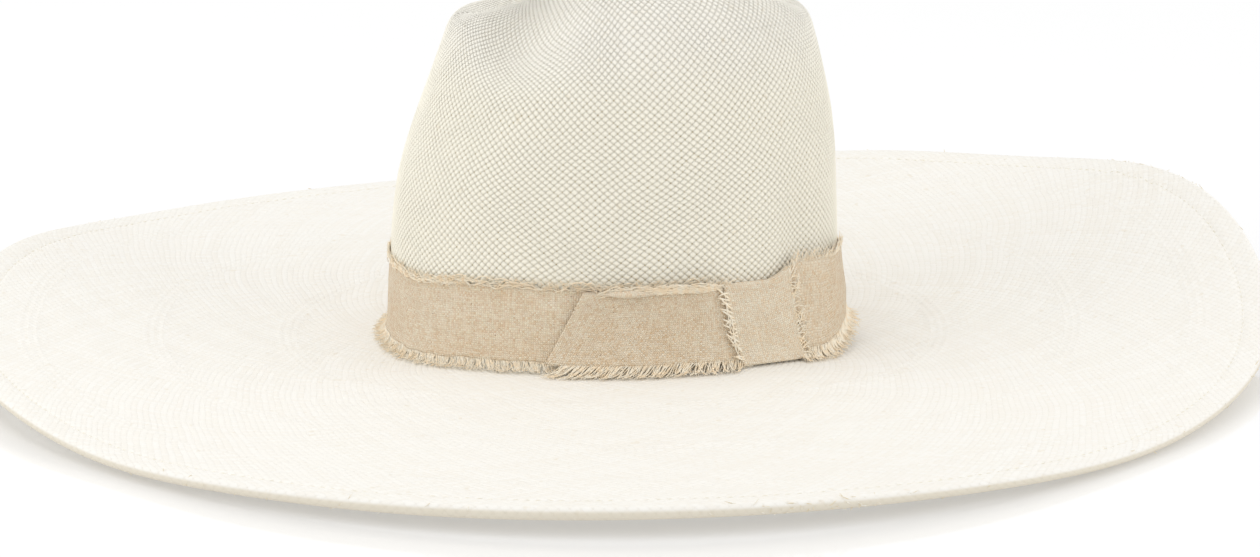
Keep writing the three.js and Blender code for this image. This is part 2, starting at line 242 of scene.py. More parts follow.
def add_object(name, vertices, faces, node_names, material, attributes=None):
    """A smooth closed mesh, in mm, that rides on the hat and stands for some CAD nodes."""
    mesh = bpy.data.meshes.new(name)
    mesh.from_pydata((np.asarray(vertices) * MM).tolist(), [], faces)
    for key, values in (attributes or {}).items():
        data = mesh.attributes.new(key, "FLOAT_VECTOR", "POINT").data
        data.foreach_set("vector", np.asarray(values, np.float32).ravel())
    tidy = bmesh.new()
    tidy.from_mesh(mesh)
    bmesh.ops.recalc_face_normals(tidy, faces=tidy.faces)
    tidy.to_mesh(mesh)
    tidy.free()
    mesh.shade_smooth()
    obj = add_to_scene(name, mesh)
    mesh.materials.append(material)
    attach(obj, "root")
    if node_names:
        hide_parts(*node_names)
    return obj


def ring_faces(starts, counts):
    """Faces between rings round the hat. A ring may have half as many points as its neighbour."""
    faces = []
    rings = list(zip(starts, counts))
    for (a, n), (b, m) in zip(rings[:-1], rings[1:]):
        if n == m:
            i = np.arange(n)
            j = (i + 1) % n
            faces += np.stack([a + i, a + j, b + j, b + i], axis=1).tolist()
        elif m == 1:
            faces += [[a + i, a + (i + 1) % n, b] for i in range(n)]
        elif n == 1:
            faces += [[a, b + i, b + (i + 1) % m] for i in range(m)]
        elif n > m:
            faces += halving_faces(a, b, m)
        else:
            faces += halving_faces(b, a, n)
    return faces


def halving_faces(fine, coarse, half):
    """Faces between a ring of twice half points and a ring of half points, from their starts."""
    faces = []
    for i in range(half):
        here, after = coarse + i, coarse + (i + 1) % half
        left, middle = fine + 2 * i, fine + 2 * i + 1
        right = fine + (2 * i + 2) % (2 * half)
        faces += [[left, middle, here], [middle, after, here], [middle, right, after]]
    return faces


def ring_solid(name, rings, node_names, material, looped=False):
    """A solid from rings of (points, weave coordinates). A looped one joins up with its start."""
    counts = [len(p) for p, _ in rings]
    starts = np.concatenate([[0], np.cumsum(counts)[:-1]]).tolist()
    faces = ring_faces(starts + starts[:1] * looped, counts + counts[:1] * looped)
    vertices = np.concatenate([p for p, _ in rings])
    weave = np.concatenate([w for _, w in rings])
    add_object(name, vertices, faces, node_names, material, {"weave": weave})


def grid_sheet(
    name, place, lengths, heights, node_names, material, thickness, endless=False, turned=False
):
    """A sheet of cloth with its real thickness. place gives points on its middle for distances
    along it and across it, in mm. A turned sheet has its weave turned by a quarter."""
    along, up = np.meshgrid(lengths, heights, indexing="ij")
    cloth = points(up, along, 0.0) if turned else points(along, up, 0.0)
    index = np.arange(along.size).reshape(along.shape)
    if endless:
        index = np.vstack([index, index[:1]])
    faces = np.stack([index[:-1, :-1], index[1:, :-1], index[1:, 1:], index[:-1, 1:]], axis=-1)
    obj = add_object(
        name, place(along, up).reshape(-1, 3), faces.reshape(-1, 4).tolist(), node_names,
        material, {"cloth": cloth.reshape(-1, 3)},
    )
    solid = obj.modifiers.new("thickness", "SOLIDIFY")
    solid.thickness = thickness * MM
    solid.offset = 0
    return obj


def thread_object(name, paths, radius, node_names, material, sides=4, taper=0.55):
    """Thin round threads, one for each path of points. All the paths have as many points."""
    paths = np.asarray(paths, float)
    threads, length = paths.shape[:2]
    tangent = np.gradient(paths, axis=1)
    tangent /= np.linalg.norm(tangent, axis=2, keepdims=True) + 1e-9
    upright = np.where(np.abs(tangent[..., 2:]) > 0.9, [1.0, 0.0, 0.0], [0.0, 0.0, 1.0])
    across = np.cross(tangent, upright)
    across /= np.linalg.norm(across, axis=2, keepdims=True) + 1e-9
    other = np.cross(tangent, across)
    turn = TURN * np.arange(sides) / sides
    width = radius * np.interp(np.linspace(0, 1, length), [0, 0.7, 1], [1, 1, taper])
    offset = (
        across[:, :, None] * np.cos(turn)[:, None] + other[:, :, None] * np.sin(turn)[:, None]
    ) * width[None, :, None, None]
    vertices = (paths[:, :, None] + offset).reshape(-1, 3)
    index = np.arange(threads * length * sides).reshape(threads, length, sides)
    after = np.roll(index, -1, axis=2)
    walls = np.stack([index[:, :-1], after[:, :-1], after[:, 1:], index[:, 1:]], axis=-1)
    faces = walls.reshape(-1, 4).tolist()
    faces += index[:, 0].tolist() + index[:, -1, ::-1].tolist()
    return add_object(name, vertices, faces, node_names, material)


# ---- Materials ----
class Shader:
    """A node material, with short ways to add the nodes that the materials share."""

    def __init__(self, name, roughness, sheen=0.0, specular=0.4):
        self.material = bpy.data.materials.new(name)
        self.material.use_nodes = True
        self.tree = self.material.node_tree
        self.surface = self.tree.nodes["Principled BSDF"]
        uniform = {"Roughness": roughness, "Sheen Weight": sheen, "Specular IOR Level": specular}
        self.fill(self.surface, uniform)
        self.place = self.node("ShaderNodeTexCoord").outputs["Object"]

    def node(self, kind, inputs=(), **settings):
        made = self.tree.nodes.new(kind)
        for key, value in settings.items():
            setattr(made, key, value)
        self.fill(made, dict(inputs))
        return made

    def fill(self, node, inputs):
        for key, value in inputs.items():
            self.plug(value, node.inputs[key])

    def plug(self, value, socket):
        if isinstance(value, bpy.types.NodeSocket):
            self.tree.links.new(value, socket)
        else:
            socket.default_value = value

    def math(self, operation, *values):
        return self.node("ShaderNodeMath", enumerate(values), operation=operation).outputs[0]

    def attribute(self, name):
        vector = self.node("ShaderNodeAttribute", attribute_name=name).outputs["Vector"]
        return self.node("ShaderNodeSeparateXYZ", {0: vector}).outputs

    def plus(self, first, second):
        return self.math("ADD", first, second)

    def minus(self, first, second):
        return self.math("SUBTRACT", first, second)

    def times(self, first, second):
        return self.math("MULTIPLY", first, second)

    def blend(self, factor, first, second):
        """The first number where the factor is 0, the second where it is 1."""
        return self.plus(first, self.times(factor, self.minus(second, first)))

    def combine(self, x, y, z=0.0):
        return self.node("ShaderNodeCombineXYZ", {0: x, 1: y, 2: z}).outputs[0]

    def noise(self, vector, scale, detail=2.0, roughness=0.5):
        inputs = {"Vector": vector, "Scale": scale, "Detail": detail, "Roughness": roughness}
        return self.node("ShaderNodeTexNoise", inputs).outputs["Fac"]

    def random(self, x, y):
        inputs = {"Vector": self.combine(x, y)}
        made = self.node("ShaderNodeTexWhiteNoise", inputs, noise_dimensions="2D")
        return made.outputs["Value"]

    def step(self, value, low, high):
        """0 at low and 1 at high, with a smooth change between."""
        inputs = {"Value": value, "From Min": low, "From Max": high}
        made = self.node("ShaderNodeMapRange", inputs, interpolation_type="SMOOTHSTEP")
        return made.outputs[0]

    def mix(self, factor, first, second):
        made = self.node("ShaderNodeMix", data_type="RGBA")
        sockets = [s for s in made.inputs if s.enabled]
        self.plug(factor, sockets[0])
        for value, socket in zip((first, second), sockets[1:]):
            colour = value if isinstance(value, bpy.types.NodeSocket) else (*value, 1.0)
            self.plug(colour, socket)
        return next(s for s in made.outputs if s.enabled)

    def bump(self, height, distance, over=None):
        inputs = {"Height": height, "Distance": distance, "Strength": 1.0}
        if over is not None:
            inputs["Normal"] = over
        return self.node("ShaderNodeBump", inputs).outputs["Normal"]

    def finish(self, colour, normal=None):
        self.fill(self.surface, {"Base Color": colour})
        if normal is not None:
            self.fill(self.surface, {"Normal": normal})
        return self.material


def crossings_round(s, along):
    """Crossings in one row round the hat: strands are fewer on the tip, and more on the brim."""
    cells = float(CELLS)
    for start in tip_starts():
        above = s.math("GREATER_THAN", along, start)
        cells = s.times(cells, s.minus(1.0, s.times(above, 0.5)))
    for count, start in enumerate(BRIM_INCREASES):
        more = s.times(s.math("LESS_THAN", along, -start), 1 / (count + 2))
        cells = s.times(cells, s.plus(1.0, more))
    return cells


def straw_gap_shade(s, first, second, dome, beside, lengthwise):
    """How much painted shade a point of the weave gets: the line between strands, and holes at some
    corners.
    """
    gap = s.step(dome, 0.55, 0.1)
    hole = s.step(s.times(beside, lengthwise), 0.165, 0.225)
    opening = s.random(s.math("FLOOR", first), s.math("FLOOR", second))
    open_hole = s.times(hole, s.times(s.math("POWER", opening, 3.0), 0.9))
    return s.plus(s.times(gap, 0.34), open_hole)


def straw_colour(s, strand, along, on_crown, depth):
    """Ivory straw that varies from strand to strand, yellower on the crown (partly painted shade),
    with painted shade in the weave's gaps and on the lip.
    """
    ivory = (0.94, 0.92, 0.87)
    mottle = s.noise(s.place, 60.0, detail=3.0)
    stain = s.step(s.noise(s.place, 240.0, detail=1.0), 0.68, 0.78)
    # The crown is tinted yellower, partly as the straw's own tone and partly as painted shade of its
    # deeper weave; towards the top the tint and the gap shade fade, a painted lighter top where light
    # falls.
    lit_top = s.step(along, SHOULDER - 34, SHOULDER + 4)
    crown_tint_and_shade = s.times(on_crown, s.minus(0.8, s.times(lit_top, 0.4)))
    woven = s.times(on_crown, s.minus(1.0, s.times(lit_top, 0.5)))
    gap_shade_amount = s.plus(0.12, s.times(woven, 0.78))
    # Painted shade on the turned-down lip past the brim's fold.
    lip_shade = s.step(along, -LIP_SHADE_FROM, -LIP_SHADE_FROM - 1.2)
    colour = s.mix(s.random(strand, 3.0), ivory, (0.915, 0.88, 0.81))
    colour = s.mix(s.times(mottle, 0.35), colour, ivory)
    colour = s.mix(crown_tint_and_shade, colour, (0.97, 0.925, 0.785))
    colour = s.mix(s.times(stain, 0.2), colour, (0.72, 0.6, 0.4))
    # Painted shade in the gaps between strands and in the pinholes, fainter off the crown and near
    # its top.
    colour = s.mix(s.times(depth, gap_shade_amount), colour, (0.47, 0.36, 0.15))
    return s.mix(s.times(lip_shade, 0.75), colour, (0.76, 0.69, 0.55))


def straw_material():
    """Diagonal plain weave of split straw: each crossing shows the strand that lies on top."""
    s = Shader("straw", roughness=0.62, specular=0.35)
    cosine, sine, along = s.attribute("weave")
    angle = s.math("ARCTAN2", sine, cosine)
    across = s.math("DIVIDE", s.times(angle, crossings_round(s, along)), TURN)
    up = s.math("DIVIDE", along, ROW_PITCH)
    first = s.plus(across, up)
    second = s.minus(across, up)
    first_strand = s.math("ROUND", first)
    second_strand = s.math("ROUND", second)
    first_off = s.math("ABSOLUTE", s.minus(first, first_strand))
    second_off = s.math("ABSOLUTE", s.minus(second, second_strand))
    odd = s.math("PINGPONG", s.plus(first_strand, second_strand), 1.0)
    beside = s.blend(odd, first_off, second_off)
    lengthwise = s.blend(odd, second_off, first_off)
    # The two directions of strands draw their shades from places far apart.
    strand = s.blend(odd, first_strand, s.plus(second_strand, 7000.5))
    beside_drop = s.math("POWER", s.times(beside, 1.94), 3.0)
    end_drop = s.math("POWER", s.times(lengthwise, 1.8), 3.0)
    inside = s.minus(s.minus(1.0, beside_drop), end_drop)
    dome = s.math("SQRT", s.math("MAXIMUM", inside, 0.0))
    on_crown = s.step(along, -8.0, 12.0)
    depth = straw_gap_shade(s, first, second, dome, beside, lengthwise)
    colour = straw_colour(s, strand, along, on_crown, depth)
    height = s.times(dome, s.plus(0.2, s.times(on_crown, 0.8)))
    fibre = s.noise(s.place, 2600.0, detail=3.0, roughness=0.7)
    return s.finish(colour, s.bump(fibre, 0.00006, over=s.bump(height, 0.0007)))


def linen_material(name, light, dark):
    """Plain weave of slubbed flax thread: each crossing shows the thread that lies on top."""
    s = Shader(name, roughness=0.93, sheen=0.15, specular=0.15)
    along, up, _ = s.attribute("cloth")

    def streaks(along_scale, up_scale, row=0.0):
        where = s.combine(s.times(along, along_scale), s.times(up, up_scale), row)
        return s.noise(where, 1.0, 3.0, 0.6)

    def wave(threads):
        return s.math("SINE", s.times(threads, np.pi))

    wander = s.times(s.minus(s.noise(s.place, 160.0), 0.5), 1.6)
    warp = s.math("DIVIDE", s.plus(along, wander), LINEN_PITCH)
    weft = s.math("DIVIDE", s.plus(up, wander), LINEN_PITCH)
    over = s.times(wave(warp), wave(weft))
    weft_on_top = s.step(over, -0.25, 0.25)
    crossing = s.random(s.math("FLOOR", warp), s.math("FLOOR", weft))
    slub = s.blend(weft_on_top, streaks(1.1, 0.1, 4.0), streaks(0.1, 1.1))
    cloud = s.noise(s.combine(s.times(along, 0.03), s.times(up, 0.06)), 1.0)
    tone = s.times(s.step(slub, 0.36, 0.64), 0.3)
    tone = s.plus(tone, s.times(s.step(crossing, 0.0, 0.7), 0.4))
    tone = s.plus(tone, s.times(weft_on_top, 0.15))
    tone = s.plus(tone, s.times(s.step(cloud, 0.3, 0.7), 0.15))
    # Painted shade in the gaps between threads, where the crossings dip.
    between = s.step(s.math("ABSOLUTE", over), 0.5, 0.0)
    fleck = s.step(s.noise(s.combine(s.times(along, 0.5), up), 0.9, 1.0), 0.74, 0.78)
    colour = s.mix(tone, dark, light)
    colour = s.mix(s.times(between, 0.25), colour, tuple(0.5 * c for c in dark))
    colour = s.mix(s.times(fleck, 0.6), colour, (0.36, 0.2, 0.1))
    fuzz = s.noise(s.place, 3200.0, detail=2.0, roughness=0.7)
    height = s.plus(s.times(s.math("ABSOLUTE", over), 0.8), s.times(slub, 0.7))
    height = s.plus(height, s.times(fuzz, 0.5))
    return s.finish(colour, s.bump(height, 0.0005))


def thread_material(name, light, dark):
    """Loose fibre: the colour wanders from thread to thread and along each one."""
    s = Shader(name, roughness=0.9, sheen=0.05, specular=0.1)
    tone = s.step(s.noise(s.place, 420.0, detail=2.0), 0.35, 0.65)
    return s.finish(s.mix(tone, dark, light), s.bump(s.noise(s.place, 4000.0), 0.00005))


def ribbon_material():
    """Ribbed cotton ribbon: fine ribs that run up and down, with painted shade in the grooves between
    them.
    """
    s = Shader("ribbed_ribbon", roughness=0.8, sheen=0.2, specular=0.2)
    along, _, _ = s.attribute("cloth")
    rib = s.math("ABSOLUTE", s.math("SINE", s.times(along, np.pi / 0.9)))
    cloud = s.noise(s.place, 90.0, detail=3.0)
    # The grooves between the ribs are painted darker, as shade.
    colour = s.mix(rib, (0.66, 0.6, 0.47), (0.84, 0.8, 0.7))
    colour = s.mix(s.times(cloud, 0.3), colour, (0.76, 0.7, 0.58))
    return s.finish(colour, s.bump(rib, 0.0002))


def metal_material(name, light, dark):
    """Drawn or rolled metal with a dull film."""
    s = Shader(name, roughness=0.34, specular=0.5)
    s.fill(s.surface, {"Metallic": 1.0})
    film = s.noise(s.place, 500.0, detail=4.0)
    return s.finish(s.mix(film, light, dark), s.bump(film, 0.00002))


# ---- Straw ----
def round_angles(count):
    return TURN * np.arange(count) / count


def tip_rows():
    """Turns evenly spaced over the tip, from the shoulder in, with their distance along it."""
    turn = 1 - (1 - np.linspace(0, 1, 4001)) ** 1.5
    spread, rise = tip_shape(turn)
    reach = (WALL_SIDE + WALL_BACK) / 2 * spread
    height = (CROWN_HEIGHT - SHOULDER) * rise
    walked = walk(reach, height)
    wanted = np.arange(ROW_PITCH / 4, walked[-1], ROW_PITCH / 4)
    return np.interp(wanted, walked, turn), wanted


def tip_starts():
    """Distances up the weave at which the tip's strands halve."""
    turns, walked = tip_rows()
    spread, _ = tip_shape(turns)
    return [SHOULDER + float(walked[spread < limit][0]) - ROW_PITCH / 8 for limit in TIP_SPREADS]


def weave_coordinates(angle, along):
    """Where a point is in the weave, with the unevenness of handwork."""
    shift = 0.008 * ripple(angle, along, 5, around=(3, 16), length=(25, 90))
    uneven = 0.15 + 0.65 * smoothstep(along, 0, 40)
    lift = uneven * ripple(angle, along, 6, around=(2, 12), length=(40, 140))
    return angle + shift, along + lift


def weave_relief(angle, along):
    """How far the crown's outside stands out, over the crossings of its weave and softly."""
    woven_angle, woven_along = weave_coordinates(angle, along)
    cells = CELLS * 0.5 ** sum(along > start for start in tip_starts())
    crossing = np.cos(woven_angle * cells) * np.cos(TURN * woven_along / ROW_PITCH)
    soft = 0.35 * ripple(angle, along, 9, around=(2, 9)) * smoothstep(along, BAND_HEIGHT, 70)
    return RELIEF * crossing * smoothstep(along, BAND_HEIGHT - 3, BAND_HEIGHT + 2) + soft


def add_ring(rings, angle, p, along):
    """Adds the points at the angles round the hat, with where they are in the weave."""
    woven_angle, woven_along = weave_coordinates(angle, along)
    rings.append((p, oval_point(woven_angle, 1, 1, woven_along)))


SEAM = 18.0  # height behind the hatband where the crown and the brim are joined
SEAM_GAP = 0.15  # from that height to the edge of each


def straw_crown(material):
    angle = round_angles(CELLS * 4)
    rings = []
    heights = np.arange(SEAM + SEAM_GAP, SHOULDER, ROW_PITCH / 4)
    for height in heights:
        out = weave_relief(angle, height)
        add_ring(rings, angle, wall_point(angle, height, out), height)
    turns, walked = tip_rows()
    spread, _ = tip_shape(turns)
    for turn, distance, reach in zip(turns, walked, spread):
        if reach < 0.03:
            break
        angle = round_angles(int(CELLS * 4 * 0.5 ** sum(reach < limit for limit in TIP_SPREADS)))
        along = SHOULDER + distance
        add_ring(rings, angle, tip_point(angle, turn, weave_relief(angle, along)), along)
    middle = round_angles(1)
    add_ring(rings, middle, tip_point(middle, 1.0), SHOULDER + walked[-1])
    rings.reverse()
    foot = heights[0]
    angle = round_angles(CELLS * 2)
    add_ring(rings, angle, wall_point(angle, foot, -0.5 * STRAW), foot)
    angle = round_angles(CELLS)
    for height in (foot, *np.arange(SEAM + 6, SHOULDER, 6)):
        add_ring(rings, angle, wall_point(angle, height, -STRAW), height)
    for turn in np.linspace(0.02, 0.97, 22):
        add_ring(rings, angle, tip_point(angle, turn, -STRAW), SHOULDER + 90 * turn)
    add_ring(rings, middle, tip_point(middle, 1.0, -STRAW), SHOULDER + walked[-1])
    ring_solid("straw_crown", rings, ["straw_body"], material)


def brim_rows():
    """Distances out at which the brim has rings, closer together where its surface has lines."""

    def spacing(out):
        near = any(abs(out - ring - RING_STEP) < 6.5 for ring in ring_places())
        return 0.8 if near else 2.6

    outs = [0.4]
    last = BRIM_WIDTH - 3.2
    while outs[-1] + spacing(outs[-1]) < last:
        outs.append(outs[-1] + spacing(outs[-1]))
    return outs


def ring_places():
    return [*BRIM_INCREASES, BRIM_WIDTH - HEM_WIDTH - RING_STEP]


def brim_relief(angle, out):
    """Raised lines where strands are added, the dip of the hem's stitches, and soft unevenness."""
    wander = 0.5 * ripple(angle, out, 12, around=(2, 9))
    lines = 0.0
    for place in BRIM_INCREASES:
        for line in range(3):
            lines = lines + 0.2 * hump(out + wander, place + line * RING_STEP, 0.9)
    lines = lines - 0.45 * hump(out, BRIM_WIDTH - HEM_WIDTH, 1.1)
    soft = 0.3 * ripple(angle, out, 21, around=(5, 40), length=(14, 60), waves=14)
    bent = hump_round(angle, 116, 9) * hump(out, BRIM_WIDTH - 15, 9)
    soft = soft + 0.8 * bent * ripple(angle, out, 22, around=(60, 160), length=(6, 16), waves=14)
    towards_rim = smoothstep(out, BRIM_WIDTH - 9, BRIM_WIDTH - 4)
    return lines + soft * smoothstep(out, 4, 20) * (1 - towards_rim)


def straw_brim(material):
    angle = round_angles(CELLS * 4)
    rings = []

    def add(p, along):
        add_ring(rings, angle, p, along)

    def hem(inset, layers):
        """Points on the hem, at a share of its width inwards, under one or two layers of straw."""
        outside = fold_radius(angle)
        channel = HEM_GAP + 2 * (outside - STRAW) * (1 - inset)
        hem_out = BRIM_WIDTH - outside - HEM_WIDTH * inset
        fray = 0.5 * ripple(angle, 0, 31, around=(40, 90)) * inset
        return brim_point(angle, hem_out + fray, STRAW * layers + channel * (1 - 0.2 * inset))

    for height in (SEAM - SEAM_GAP, 14, 11, 8.5, 6.5, 5, 3.8, 2.9, 2.2):
        add(wall_point(angle, height), height)
    for out in brim_rows():
        add(brim_point(angle, out, -brim_relief(angle, out)), -out)
    edge = BRIM_WIDTH - FOLD_RADIUS
    for turn in np.linspace(90, -90, 13):
        walked = FOLD_RADIUS * np.radians(90 - turn)
        add(fold_point(angle, fold_radius(angle), turn), -edge - walked)
    under = edge + FOLD_RADIUS * np.pi
    for inset, layers in ((0.3, 2), (0.6, 2), (1.0, 2), (1.0, 1), (0.6, 1), (0.3, 1)):
        add(hem(inset, layers), -under - HEM_WIDTH * inset)
    for turn in np.linspace(-90, 90, 5):
        add(fold_point(angle, fold_radius(angle) - STRAW, turn), -BRIM_WIDTH)
    for out in np.linspace(BRIM_WIDTH - HEM_WIDTH, 2, 20):
        add(brim_point(angle, out, STRAW), -out)
    add(brim_point(angle, -STRAW, STRAW), 0)
    for height in (2.9, 5, 8.5, 14, SEAM - SEAM_GAP):
        add(wall_point(angle, height, -STRAW), height)
    ring_solid("straw_brim", rings, ["straw_body"], material, looped=True)


# ---- Metal in the brim's edge ----
def brim_wire(material):
    angle = np.radians(JOINER_ANGLE) + np.linspace(0.002, TURN - 0.002, 721)
    path = fold_point(angle, 0.0, 0.0)
    thread_object(
        "brim_wire", path[None], WIRE_RADIUS, ["brim_wire"], material, sides=8, taper=1.0
    )


def wire_joiner(material):
    """A split sleeve, crimped at both ends, round the two ends of the wire."""
    angle = np.radians(np.linspace(JOINER_ANGLE - JOINER_REACH, JOINER_ANGLE + JOINER_REACH, 25))
    share = np.linspace(-1, 1, 25)
    waist = JOINER_RADIUS - 0.12 * (hump(share, -0.6, 0.16) + hump(share, 0.6, 0.16))
    turns = np.degrees(round_angles(20))
    outer = [fold_point(angle, waist, turn) for turn in turns]
    inner = [fold_point(angle, waist - 0.3, turn) for turn in turns]
    grid = np.stack([np.concatenate([o, i[::-1]]) for o, i in zip(outer, inner)])
    index = np.arange(grid[..., 0].size).reshape(grid.shape[:2])
    right = np.roll(index, -1, axis=1)
    below, below_right = np.roll(index, -1, axis=0), np.roll(right, -1, axis=0)
    faces = np.stack([index, right, below_right, below], axis=-1).reshape(-1, 4).tolist()
    add_object("wire_joiner", grid.reshape(-1, 3), faces, ["wire_joiner"], material)


# ---- Stitches ----
STITCH = 3.0  # length of one


def stitch_row(name, place, pitch, around, node_name, material):
    """A row of running stitches. place takes an angle, a lift and how far a stitch strays."""
    count = int(around / pitch)
    share = np.linspace(-0.5, 0.5, 7)
    angle = round_angles(count)[:, None] + share * STITCH / around * TURN
    lift = (np.cos(share * np.pi) * 1.6 - 1.1) * THREAD_RADIUS
    rng = np.random.default_rng(len(name))
    skew = rng.normal(0, 0.12, (count, 1)) * share * STITCH
    paths = place(angle, lift + 0 * angle, skew)
    return thread_object(
        name, paths, THREAD_RADIUS, [node_name], material, sides=5, taper=0.8
    )


def hem_stitches(material):
    def place(angle, lift, skew):
        out = BRIM_WIDTH - HEM_WIDTH + skew
        return brim_point(angle, out, -brim_relief(angle, out) - lift)

    around = TURN * (BRIM_WIDTH + 90)
    stitch_row("hem_stitches", place, 4.6, around, "hem_thread", material)


def straw_ends(material):
    """Cut ends of straw that have worked out of the folded edge, most of them where it is worn."""
    rng = np.random.default_rng(33)
    worn = [rng.normal(13.5, 3.5, 26), rng.normal(116, 7, 50), rng.uniform(0, 360, 90)]
    start = np.radians(np.concatenate(worn))[:, None]
    share = np.linspace(0, 1, 5)
    count = len(start)
    angle = start + rng.normal(0, 2.0, (count, 1)) / (BRIM_WIDTH + WALL_BACK) * share
    turn = rng.uniform(-60, 80, (count, 1)) + rng.normal(0, 25, (count, 1)) * share
    radius = fold_radius(angle) - 0.1 + rng.uniform(0.3, 1.5, (count, 1)) * share**1.3
    thread_object("straw_ends", fold_point(angle, radius, turn), 0.17, [], material)


def sweatband_stitches(material):
    def place(angle, lift, skew):
        return wall_point(angle, 4.0 + skew, SWEATBAND_OUT - 0.25 - lift)

    around = TURN * 88
    return stitch_row("sweatband_stitches", place, 4.2, around, "sweatband_thread", material)


def tack(name, at, face, material):
    """Two stitches over the top edge of the linen."""
    share = np.linspace(0, 1, 9)
    paths = []
    for side in (-0.35, 0.35):
        angle = np.radians(at) + (side + 0.25 * share) / 90
        height = BAND_HEIGHT - 4.2 + 4.6 * share
        out = face + 0.5 * np.sin(np.pi * share) - share**4 * face * 0.6
        paths.append(wall_point(angle, height, out))
    thread_object(name, paths, 0.2, [name], material, sides=6, taper=0.9)


# ---- Cloth ----
ROUND_MM = 565.0  # the way round the crown at the hatband


def band_point(along, up, out=0.0):
    angle = np.radians(BAND_JOINT + 0.4) + along / ROUND_MM * TURN
    soft = 0.28 * ripple(angle, up, 41, around=(6, 30), length=(40, 90), waves=12)
    edge = 0.35 * ripple(angle, 0, 42, around=(20, 60)) * smoothstep(up, 28, 38)
    dip = 0.4 * ripple(angle, 0, 43, around=(20, 60)) * (1 - smoothstep(up, 6, 12))
    tuck = smoothstep(up, 26, BAND_HEIGHT)
    away = BAND_OUT + 0.1 + soft * (1 - 0.7 * tuck) - 0.4 * tuck
    return wall_point(angle, up + edge + dip, away + out)


BAND_LENGTH = ROUND_MM * (360 - 0.8) / 360


def hatband(material):
    lengths = np.linspace(0, BAND_LENGTH, 560)
    heights = np.linspace(LINEN_EDGE, BAND_HEIGHT - 0.3, 20)
    return grid_sheet("hatband", band_point, lengths, heights, ["hatband"], material, CLOTH)


# Points along the bow's path: on each layer of the wing, round a fold, and on the loop's layers.
WING_POINTS = 60
FOLD_POINTS = 7
LOOP_POINTS = 50
INNER_POINTS = 30
WING_STRAIGHTENS = 42.6  # degrees from the wing's end over which its slant runs out


def bow_path():
    """The strip's middle from the end behind the keeper, round the wing's fold and out to the
    loop: distances along it, and the angle and slant in degrees and the distance out at each."""
    fold = half_turn(-90, FOLD_POINTS)
    gap = (BOW_FRONT_OUT - BOW_BACK_OUT) / 2
    turn_start = LOOP_END - 1.6
    back = np.linspace(KEEPER_END + 2, WING_END, WING_POINTS)
    wing = np.linspace(WING_END, KEEPER_END, WING_POINTS)
    loop = np.linspace(KEEPER_END + 0.6, turn_start, LOOP_POINTS)
    share = (loop - KEEPER_END) / (LOOP_END - KEEPER_END)
    bulge = 1.5 * np.sin(np.pi * np.minimum(share * 1.08, 1)) ** 0.8
    inner = np.linspace(turn_start, KEEPER_END + 9, INNER_POINTS)
    top = BOW_FRONT_OUT + bulge[-1]
    low = BOW_BACK_OUT - 0.1
    angles = np.concatenate([
        back, WING_END - 0.35 * np.cos(fold), wing, loop, turn_start + 1.2 * np.cos(fold), inner
    ])
    outs = np.concatenate([
        np.full(WING_POINTS, BOW_BACK_OUT), BOW_BACK_OUT + gap + gap * np.sin(fold),
        np.full(WING_POINTS, BOW_FRONT_OUT), BOW_FRONT_OUT + bulge,
        (top + low) / 2 - (top - low) / 2 * np.sin(fold), np.full(INNER_POINTS, low),
    ])
    slants = WING_SLANT * np.clip(1 - (angles - WING_END) / WING_STRAIGHTENS, 0, 1)
    slants[2 * WING_POINTS + FOLD_POINTS:] = 0
    return walk(angles / 360 * ROUND_MM, outs), angles, outs, slants


def climb(degrees, share):
    """How much higher the loop stands than the hatband, at a share of the strip's height."""
    settled = LOOP_SETTLE * smoothstep(degrees, KEEPER_END + CLIMB_RUN, LOOP_END)
    top = LOOP_CLIMB * smoothstep(degrees, KEEPER_END - CLIMB_RUN, KEEPER_END + 1) - settled
    bottom = LOOP_LIFT * smoothstep(degrees, KEEPER_END + LIFT_START, LOOP_END - LIFT_LEVEL)
    return bottom + (top - bottom) * share


def bow_point(along, up, out=0.0):
    walked, angles, outs, slants = bow_path()
    degrees = np.interp(along, walked, angles)
    middle = np.interp(along, walked, outs)
    share = (up - BOW_BOTTOM) / (BOW_TOP - BOW_BOTTOM)
    slant = np.interp(along, walked, slants) * share
    front = smoothstep(along, *bow_fold())
    loop = smoothstep(degrees, KEEPER_END + 3, LOOP_END - 8) * front
    wing = front * (1 - smoothstep(degrees, KEEPER_START - 16, KEEPER_START - 4))
    soft = 0.12 + (0.16 + 0.3 * loop) * ripple(np.radians(degrees * 4), up, 51, length=(40, 90))
    soft = soft + 0.22 * wing * ripple(np.radians(degrees * 3), up, 52, length=(10, 30))
    before_keeper = hump(degrees, KEEPER_START + KEEPER_LEAN * share - 7, 4)
    curl = 1.3 * smoothstep(up, 28, BOW_TOP) * (1 - smoothstep(degrees, 18, 25))
    height = up + climb(degrees, share) * front
    inward = 2.6 * smoothstep(degrees, 62, 80) * smoothstep(up, 10, BOW_TOP) * front
    away = middle - inward + front * (soft + 1.6 * before_keeper + curl)
    return wall_point(np.radians(degrees + slant), height, away + out)


def bow_fold():
    """Where along the strip the wing's fold starts and ends."""
    walked = bow_path()[0]
    return float(walked[WING_POINTS - 2]), float(walked[WING_POINTS + FOLD_POINTS + 3])


def bow_length():
    return float(bow_path()[0][-1])


def bow(material):
    walked = bow_path()[0]
    even = np.linspace(0, walked[-1], 300)
    wing_fold = walked[WING_POINTS:WING_POINTS + FOLD_POINTS]
    loop_turn = walked[-INNER_POINTS - FOLD_POINTS - 1:-INNER_POINTS + 2]
    lengths = np.unique(np.concatenate([even, wing_fold, loop_turn]))
    heights = np.linspace(LINEN_EDGE, BOW_TOP, 22)
    return grid_sheet("bow", bow_point, lengths, heights, ["bow"], material, CLOTH * 0.9)


KEEPER_LOW = BOW_BOTTOM - 0.6
KEEPER_HIGH = BOW_TOP + 0.6
KEEPER_BACK_POINTS = 12
KEEPER_TURN_POINTS = 11
KEEPER_FRONT_POINTS = 30


